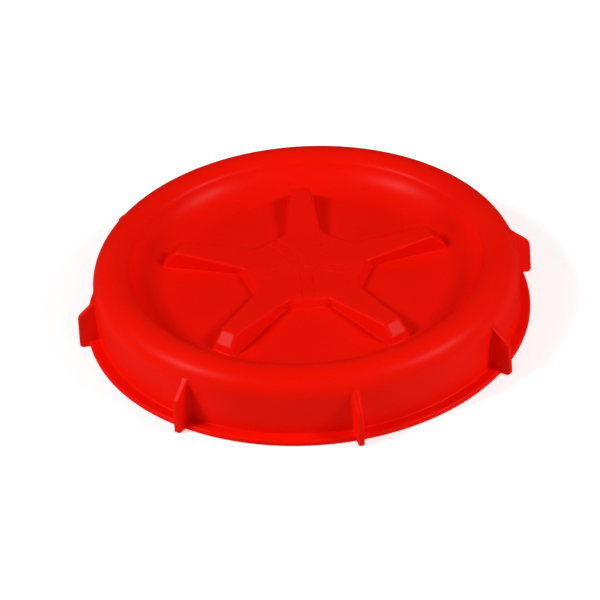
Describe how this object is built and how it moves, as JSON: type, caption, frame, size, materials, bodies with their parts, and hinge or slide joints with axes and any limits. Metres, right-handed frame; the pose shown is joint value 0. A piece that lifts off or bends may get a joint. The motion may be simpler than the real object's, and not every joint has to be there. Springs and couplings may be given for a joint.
{
  "type": "screw lid",
  "caption": "Round moulded plastic screw lid with a rounded rim, a sunken panel with a raised star, grip lugs round the skirt, an inner thread and a rubber sealing ring.",
  "frame": {"origin": "centre of the flange's underside, which is the open end of the lid", "axes": "+Z along the thread's axis towards the outside of the lid, +Y along one arm of the star"},
  "size_m": [0.2062, 0.2062, 0.0303],
  "materials": {
    "red_plastic": "satin moulded, softly glossy",
    "black_rubber": "matt"
  },
  "bodies": {
    "root": {"lid_shell": "red_plastic", "sealing_gasket": "black_rubber"}
  },
  "joints": []
}
